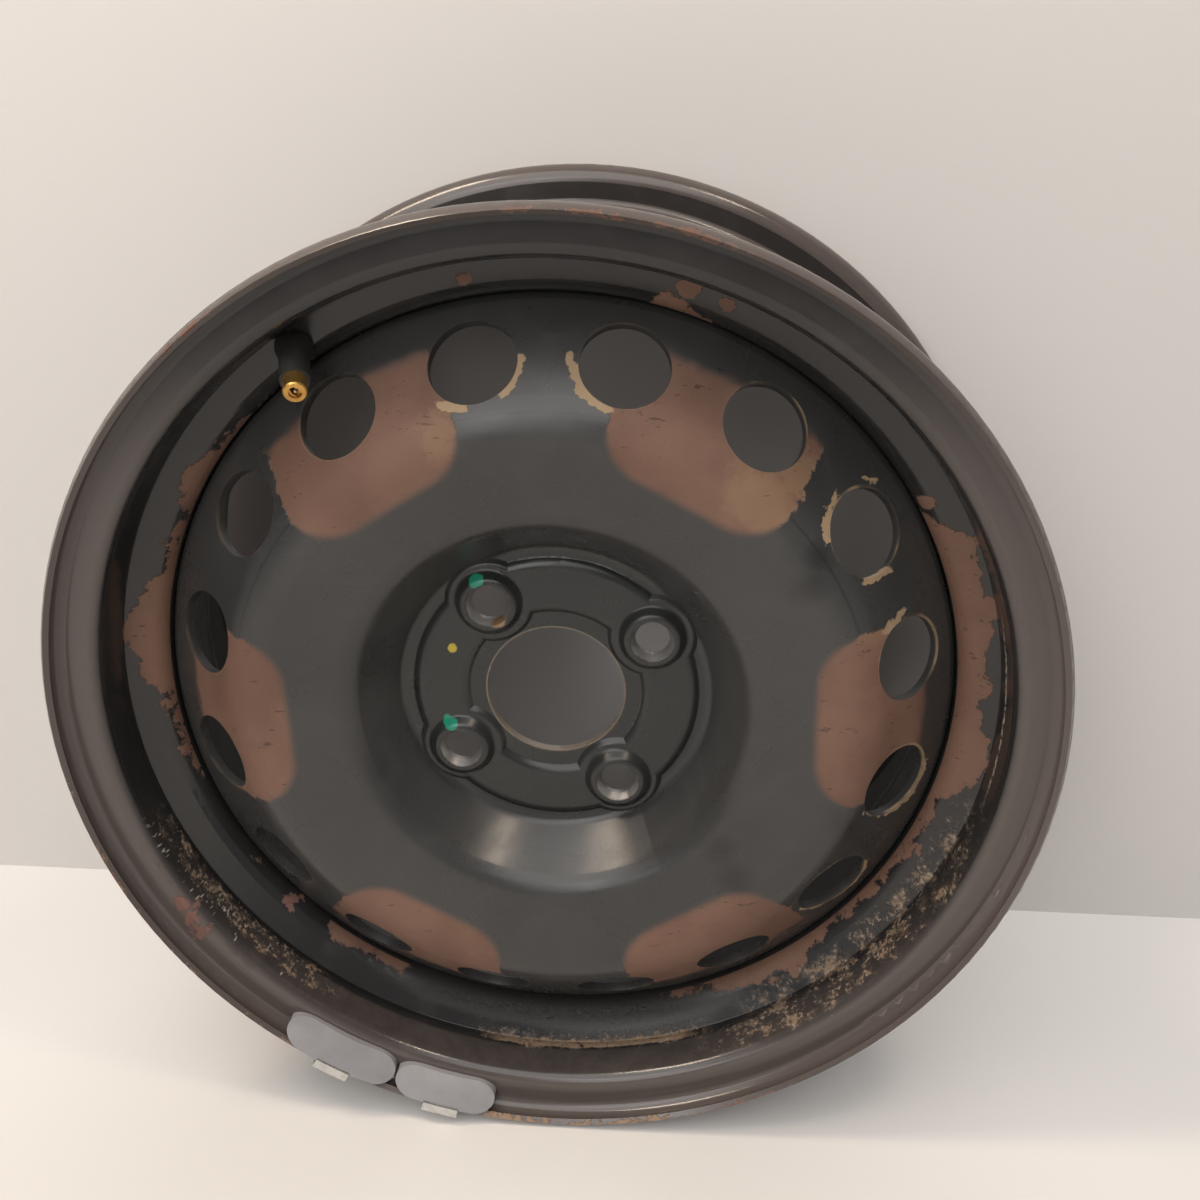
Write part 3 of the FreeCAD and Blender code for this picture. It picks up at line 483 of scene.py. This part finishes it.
def slopeRust(tree, place, polar, shift, look):
    # rust that climbs the slope from the crease, by stretches of the turn
    reach = look["slopeBase"]
    for middle, half, soft, climb in look["slopeArcs"]:
        reach = plus(tree, reach, times(tree, arcMask(tree, polar, middle, half, soft), climb))
    broken = ramp(tree, noise(tree, place, look["breakScale"], 3.0, 0.6), *look["breakRange"])
    climbed = minus(tree, polar["Radius"], look["crease"])
    over = minus(tree, plus(tree, climbed, shift), times(tree, reach, broken))
    onSlope = bandMask(tree, polar["Along"], *look["slopeBand"])
    spots = spotMask(tree, place, look["slopeSpots"], look["spotSoft"],
                     times(tree, shift, look["slopeWaver"]))
    return strongest(tree, times(tree, ramp(tree, over, *look["slopeEdge"]), onSlope), spots)


def seatStreaks(tree, polar, look):
    # short pale streaks scraped across the seat
    across = addNode(tree, "ShaderNodeCombineXYZ", {
        "X": calc(tree, "DIVIDE", polar["Turn"], look["streakTurn"]),
        "Y": calc(tree, "DIVIDE", polar["Along"], look["streakLength"])}).outputs["Vector"]
    streaks = ramp(tree, noise(tree, across, 1.0, 2.0, 0.5), *look["streakRange"])
    return times(tree, streaks, arcBand(tree, polar, polar["Along"], look["streakArc"], look["bandSoft"]))


def dustLine(tree, polar, speck, clump, look):
    # one thin wandering line of dust
    middle, half, soft, along, width = look["dustArc"]
    wander = raggedNoise(tree, clump, look["dustWander"])
    gap = calc(tree, "ABSOLUTE", minus(tree, plus(tree, polar["Along"], wander), along))
    line = times(tree, ramp(tree, gap, width, width * 0.5), arcMask(tree, polar, middle, half, soft))
    return times(tree, line, ramp(tree, speck, *look["dustRange"]))


def lipWear(tree, polar, ragged, clump, look):
    # rust along parts of both edges, and chips along the front one
    shares = [arcMask(tree, polar, *arc) for arc in look["lipRust"]]
    shares.append(times(tree, arcMask(tree, polar, *look["rearRust"]),
                        ramp(tree, polar["Along"], *look["rearFrom"])))
    edgeGap = minus(tree, calc(tree, "ABSOLUTE", polar["Along"]), look["lipEdge"])
    rusted = plus(tree, edgeGap, raggedNoise(tree, clump, look["lipWaver"]))
    lipMask = times(tree, ramp(tree, rusted, *look["lipRange"]), strongest(tree, *shares))
    chipped = plus(tree, edgeGap, raggedNoise(tree, ragged, look["chipWaver"]))
    chips = []
    for middle, half, soft, wear in look["chipArcs"]:
        chips.append(times(tree, ramp(tree, chipped, wear, wear + look["chipSoft"]),
                           arcMask(tree, polar, middle, half, soft)))
    return lipMask, strongest(tree, *chips)


def makeRimMaterial(look):
    material, tree, shader, place = newMaterial("rimCoat")
    polar = useGroup(tree, wheelPolar, Vector=place)
    coat = useGroup(tree, satinCoat, Vector=place, Haze=look["haze"])
    rust = useGroup(tree, rustBloom, Vector=place)
    ragged = noise(tree, place, look["raggedScale"], 8.0, 0.75, 0.4)
    shift = raggedNoise(tree, ragged, look["raggedReach"])
    speck = noise(tree, place, look["speckScale"], 4.0, 0.7)
    clump = noise(tree, place, look["clumpScale"], 4.0, 0.65)
    # coat darkened towards black inside the lip's ring as painted shade, with the top of the lip kept in that
    # painted shade; dustier grey on the lip and on the tyre's side
    outside = rimOutside(tree, place, polar, look)
    inside = minus(tree, 1.0, outside)
    underTopShade = times(tree, arcMask(tree, polar, *look["topShadeArc"]),
                     bandMask(tree, polar["Along"], *look["topShadeBand"]))
    onLip = ramp(tree, calc(tree, "ABSOLUTE", polar["Along"]), *look["lipZone"])
    onLip = times(tree, onLip, minus(tree, 1.0, underTopShade))
    black = blendColour(tree, look["innerShadeShare"], coat["Colour"], look["innerShadeBlack"])
    dustAndSheen = blendColour(tree, look["dustAndSheenShare"], coat["Colour"], look["dustAndSheenGrey"])
    base = blendColour(tree, strongest(tree, onLip, outside), black, dustAndSheen)
    slopeMask = times(tree, slopeRust(tree, place, polar, shift, look), inside)
    # grit and caked dirt in the groove and on the seat
    gritAlong = plus(tree, polar["Along"], times(tree, shift, look["gritWaver"]))
    shares = [arcBand(tree, polar, gritAlong, arc, look["gritSoft"]) for arc in look["gritArcs"]]
    gritShare = times(tree, strongest(tree, *shares), inside)
    crowd = times(tree, gritShare, ramp(tree, clump, *look["crowdRange"]))
    grimeMask = times(tree, crowd, look["grimeShare"])
    gritMask = times(tree, ramp(tree, speck, *look["gritRange"]), crowd)
    clumpShare, speckShare = look["sandMix"]
    sandy = plus(tree, times(tree, clump, clumpShare), times(tree, speck, speckShare))
    sandMask = times(tree, ramp(tree, sandy, *look["sandRange"]), gritShare)
    cakedAlong = plus(tree, polar["Along"], times(tree, shift, look["cakedWaver"]))
    caked = times(tree, arcMask(tree, polar, *look["cakedArc"]),
                  bandMask(tree, cakedAlong, *look["cakedBand"]), inside)
    tanMask = strongest(tree, sandMask, times(tree, caked, ramp(tree, speck, *look["cakedRange"])))
    lines = strongest(tree, seatStreaks(tree, polar, look), dustLine(tree, polar, speck, clump, look))
    pale = strongest(tree, gritMask, times(tree, lines, inside))
    # bare primer low on the left, wear along the lip, loose flecks
    primerMask = spotMask(tree, place, look["primerSpots"], look["spotSoft"],
                          times(tree, shift, look["primerWaver"]))
    lipMask, chipMask = lipWear(tree, polar, ragged, clump, look)
    fleck = times(tree, ramp(tree, speck, *look["fleckRange"]), ramp(tree, ragged, *look["fleckCrowd"]))
    # grey dust on the lower seat, partly painted sheen; painted shade in the crease below, coloured near
    # black and made rougher
    creaseShadeMask = times(tree, arcMask(tree, polar, *look["creaseShadeArc"]),
                       ramp(tree, polar["Along"], *look["creaseShadeFade"]), inside)
    # the lower seat takes the lip's grey dust colour, here partly as painted sheen
    seatDustAndSheen = arcBand(tree, polar, polar["Along"], look["seatSheenArc"], look["bandSoft"])
    colour = base
    for mask, layer in (
            (times(tree, seatDustAndSheen, ramp(tree, ragged, *look["seatSheenRange"])), dustAndSheen),
            (times(tree, creaseShadeMask, look["creaseShadeShare"]), look["creaseShadeColour"]),
            (grimeMask, look["grime"]), (slopeMask, rust["Colour"]),
            (times(tree, tanMask, look["tanShare"]), look["tan"]), (pale, look["grit"]),
            (fleck, look["tan"]), (primerMask, look["primer"]), (lipMask, rust["Colour"]),
            (chipMask, look["chip"])):
        colour = blendColour(tree, mask, colour, layer)
    tree.links.new(colour, shader.inputs["Base Color"])
    rustMask = strongest(tree, slopeMask, grimeMask, creaseShadeMask, tanMask, pale, primerMask, lipMask, chipMask)
    rough = mixValue(tree, rustMask, times(tree, coat["Roughness"], look["gloss"]), rust["Roughness"])
    tree.links.new(rough, shader.inputs["Roughness"])
    coatHeight = plus(tree, times(tree, coat["Height"], look["peelHeight"]), look["coatHeight"])
    height = mixValue(tree, rustMask, coatHeight, plus(tree, rust["Height"], gritMask))
    setBump(tree, shader, height, look["bumpDepth"])
    return material


# small parts: two tones, roughness, metallic, scale of the grain and depth of the bump

smallFinishes = {
    "weld_beads": ("weldCoat", (0.03, 0.028, 0.026), (0.06, 0.045, 0.036), 0.5, 0.0, 300.0, 0.0001),
    "valve_body": ("valveRubber", (0.016, 0.016, 0.016), (0.03, 0.028, 0.026), 0.6, 0.0, 300.0, 0.0001),
    "valve_stem": ("valveBrass", (0.62, 0.36, 0.10), (0.48, 0.27, 0.08), 0.34, 0.9, 900.0, 0.0001),
    "core_pin": ("pinSteel", (0.52, 0.47, 0.38), (0.40, 0.36, 0.30), 0.36, 0.9, 900.0, 0.0001),
    "core_seal": ("sealPlastic", (0.50, 0.08, 0.05), (0.42, 0.06, 0.04), 0.5, 0.0, 300.0, 0.0001),
    "balance_weight_1": ("weightZinc", (0.255, 0.25, 0.255), (0.215, 0.21, 0.215), 0.48, 0.0, 240.0, 0.0001),
    "weight_clip_1": ("clipSteel", (0.66, 0.66, 0.65), (0.52, 0.52, 0.51), 0.3, 0.9, 900.0, 0.000004),
}
sharedFinish = {
    "core_body": "valve_stem", "core_spring": "core_pin", "core_washer": "valve_body",
    "balance_weight_2": "balance_weight_1", "weight_clip_2": "weight_clip_1",
}
cloudsPerGrain = 6
roughnessSpread = (-0.08, 0.1)


def makePlainMaterial(name, colour, second, roughness, metallic, scale, depth):
    material, tree, shader, place = newMaterial(name, metallic)
    clouds = noise(tree, place, scale / cloudsPerGrain, 4.0, 0.6)
    grain = noise(tree, place, scale, 4.0, 0.6)
    mix = blendColour(tree, ramp(tree, clouds, 0.35, 0.68), colour, second)
    tree.links.new(mix, shader.inputs["Base Color"])
    smooth, rough = (roughness + spread for spread in roughnessSpread)
    tree.links.new(ramp(tree, clouds, 0.3, 0.7, smooth, rough), shader.inputs["Roughness"])
    setBump(tree, shader, grain, depth)
    return material


materials = {"rim": makeRimMaterial(rimLook), "wheel_disc": makeDiscMaterial(discLook)}
for name, finish in smallFinishes.items():
    materials[name] = makePlainMaterial(*finish)
for name, piece in nodes.items():
    piece.data.materials.clear()
    piece.data.materials.append(materials[sharedFinish.get(name, name)])
print("materials made:", len(materials))


# pieces made from packed ones

mergeGap = 0.000002


def copyNode(node, ending):
    # a copy with its own mesh, merged and left open for editing
    bpy.ops.object.select_all(action="DESELECT")
    piece = bpy.data.objects.new(node + ending, nodes[node].data.copy())
    bpy.context.scene.collection.objects.link(piece)
    bpy.context.view_layer.objects.active = piece
    piece.select_set(True)
    bpy.ops.object.mode_set(mode="EDIT")
    bpy.ops.mesh.select_all(action="SELECT")
    bpy.ops.mesh.remove_doubles(threshold=mergeGap)
    return piece


def closeCopy(smoothDegrees):
    bpy.ops.object.mode_set(mode="OBJECT")
    bpy.ops.object.shade_smooth_by_angle(angle=math.radians(smoothDegrees))


# balance weights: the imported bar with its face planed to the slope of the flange, round ends, a soft edge

weightLook = {
    "turns": {"balance_weight_1": -119.95, "balance_weight_2": -104.85},
    "lengths": {"balance_weight_1": 0.0550, "balance_weight_2": 0.0475},
    "outer": 0.2043, "outerFront": -0.0908, "inner": 0.1928, "innerFront": -0.0813,
    "endRun": 0.0105, "endSteps": 6, "softEdge": 0.0016, "edgeSteps": 3,
    "flatDegrees": 3.0, "smoothDegrees": 32.0,
}


def roundEnds(node, look):
    # each end is cut to half an oval by planes that touch it
    middle = (look["outer"] + look["inner"]) / 2
    high = (look["outer"] - look["inner"]) / 2
    swing = (look["lengths"][node] / 2 - look["endRun"]) / middle
    for side in (-1, 1):
        angle = math.radians(look["turns"][node]) + side * swing
        out = Vector((math.cos(angle), 0.0, math.sin(angle)))
        along = Vector((-math.sin(angle), 0.0, math.cos(angle))) * side
        for step in range(1 - look["endSteps"], look["endSteps"]):
            slant = step * math.pi / 2 / look["endSteps"]
            touch = out * (middle - high * math.sin(slant)) + along * (look["endRun"] * math.cos(slant))
            square = along * (math.cos(slant) / look["endRun"]) - out * (math.sin(slant) / high)
            bpy.ops.mesh.select_all(action="SELECT")
            bpy.ops.mesh.bisect(plane_co=touch, plane_no=square.normalized(), use_fill=True, clear_outer=True)


def planeWeight(node, look):
    piece = copyNode(node, "_face")
    bpy.ops.mesh.dissolve_limited(angle_limit=math.radians(look["flatDegrees"]))
    roundEnds(node, look)
    angle = math.radians(look["turns"][node])
    tilt = math.atan2(look["innerFront"] - look["outerFront"], look["outer"] - look["inner"])
    start = (look["outer"] * math.cos(angle), look["outerFront"], look["outer"] * math.sin(angle))
    square = (-math.sin(tilt) * math.cos(angle), -math.cos(tilt), -math.sin(tilt) * math.sin(angle))
    bpy.ops.mesh.select_all(action="SELECT")
    bpy.ops.mesh.bisect(plane_co=start, plane_no=square, use_fill=True, clear_outer=True)
    bpy.ops.mesh.bevel(offset=look["softEdge"], segments=look["edgeSteps"], affect="EDGES",
                       clamp_overlap=True)
    closeCopy(look["smoothDegrees"])
    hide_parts(node)
    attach(piece, "wheel")


for node in weightLook["turns"]:
    planeWeight(node, weightLook)
print("balance weights planed")


# valve spring: a merged, smooth-shaded copy of the imported coil

springLook = {
    "node": "core_spring", "joint": "valve_pin_slide", "axis": (-0.249059, 0.891369, 0.378724),
    "stroke": 0.0015, "smoothDegrees": 40.0,
}


def shortenSpring(look):
    piece = copyNode(look["node"], "_coil")
    closeCopy(look["smoothDegrees"])
    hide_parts(look["node"])
    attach(piece, "wheel")
    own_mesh(piece)


shortenSpring(springLook)


# floor, backdrop, light and camera

stageLook = {
    "floorHeight": -0.2079, "floorSize": 8.0, "wallPlace": 0.0925, "roughness": 0.7,
    "floorColour": (0.72, 0.695, 0.67), "wallColour": (0.615, 0.595, 0.58),
    "floorGlow": 0.01, "world": (0.86, 0.86, 0.88), "worldStrength": 0.28,
}


def palePaint(name, colour, look):
    material = bpy.data.materials.new(name)
    material.use_nodes = True
    shader = material.node_tree.nodes["Principled BSDF"]
    shader.inputs["Base Color"].default_value = (*colour, 1.0)
    shader.inputs["Roughness"].default_value = look["roughness"]
    return material, material.node_tree, shader


def seenRays(tree):
    # rays from the camera, and those that gloss sends out
    path = addNode(tree, "ShaderNodeLightPath").outputs
    return strongest(tree, path["Is Camera Ray"], path["Is Glossy Ray"])


def makeFloor(look):
    bpy.ops.object.select_all(action="DESELECT")
    bpy.ops.mesh.primitive_plane_add(size=look["floorSize"], location=(0.0, 0.0, look["floorHeight"]))
    floor = bpy.context.object
    floor.name = "paleFloor"
    material, tree, shader = palePaint("paleFloor", look["floorColour"], look)
    shader.inputs["Emission Color"].default_value = (*look["floorColour"], 1.0)
    tree.links.new(times(tree, seenRays(tree), look["floorGlow"]), shader.inputs["Emission Strength"])
    floor.data.materials.append(material)


def makeWall(look):
    # the wall shows from its front only, to the camera and in gloss, and light passes it
    bpy.ops.object.select_all(action="DESELECT")
    bpy.ops.mesh.primitive_plane_add(size=look["floorSize"], location=(0.0, look["wallPlace"], 0.0),
                                     rotation=(math.pi / 2, 0.0, 0.0))
    wall = bpy.context.object
    wall.name = "paleWall"
    material, tree, shader = palePaint("paleWall", look["wallColour"], look)
    backs = addNode(tree, "ShaderNodeNewGeometry").outputs["Backfacing"]
    shown = times(tree, seenRays(tree), minus(tree, 1.0, backs))
    clear = addNode(tree, "ShaderNodeBsdfTransparent").outputs["BSDF"]
    mixed = addNode(tree, "ShaderNodeMixShader", {0: shown, 1: clear, 2: shader.outputs["BSDF"]})
    tree.links.new(mixed.outputs["Shader"], tree.nodes["Material Output"].inputs["Surface"])
    wall.data.materials.append(material)


def makeWorld(look):
    world = bpy.data.worlds.new("studio")
    world.use_nodes = True
    background = world.node_tree.nodes["Background"]
    background.inputs["Color"].default_value = (*look["world"], 1.0)
    background.inputs["Strength"].default_value = look["worldStrength"]
    bpy.context.scene.world = world


lamps = [
    {"name": "overheadSoft", "place": (-0.25, -0.95, 1.35), "size": (1.7, 1.5), "power": 20.2,
     "warmth": (1.0, 0.98, 0.95)},
    {"name": "frontFill", "place": (-0.5, -1.7, 0.65), "size": (0.7, 1.0), "power": 7.0,
     "warmth": (1.0, 0.98, 0.96)},
    {"name": "backSoft", "place": (0.3, 1.9, 0.9), "size": (1.6, 1.2), "power": 22.0,
     "warmth": (1.0, 0.98, 0.96)},
    {"name": "ceilingRight", "place": (0.45, -0.40, 1.09), "size": (0.16, 0.16), "power": 2.2,
     "warmth": (1.0, 0.83, 0.66)},
    {"name": "ceilingLeft", "place": (-0.62, -0.22, 1.07), "size": (0.18, 0.45), "power": 6.4,
     "warmth": (1.0, 0.82, 0.64)},
]


def makeLamps():
    for lamp in lamps:
        data = bpy.data.lights.new(lamp["name"], "AREA")
        data.shape = "RECTANGLE"
        data.size, data.size_y = lamp["size"]
        data.energy = lamp["power"]
        data.color = lamp["warmth"]
        piece = bpy.data.objects.new(lamp["name"], data)
        bpy.context.scene.collection.objects.link(piece)
        piece.location = lamp["place"]
        piece.rotation_euler = (-piece.location).to_track_quat("-Z", "Y").to_euler()


cameraLook = {
    "place": (0.0547, -0.5195, 0.2502), "turnDegrees": (66.544, 0.034, 4.238), "lens": 37.075, "sensor": 36.0,
    "clipStart": 0.01,
}


def makeCamera(look):
    data = bpy.data.cameras.new("photoCamera")
    data.lens = look["lens"]
    data.sensor_width = look["sensor"]
    data.clip_start = look["clipStart"]
    camera = bpy.data.objects.new("photoCamera", data)
    bpy.context.scene.collection.objects.link(camera)
    camera.location = look["place"]
    camera.rotation_euler = [math.radians(turn) for turn in look["turnDegrees"]]
    bpy.context.scene.camera = camera


makeFloor(stageLook)
makeWall(stageLook)
makeWorld(stageLook)
makeLamps()
makeCamera(cameraLook)
bpy.context.scene.view_settings.view_transform = "Standard"
print("stage, lamps and camera set")
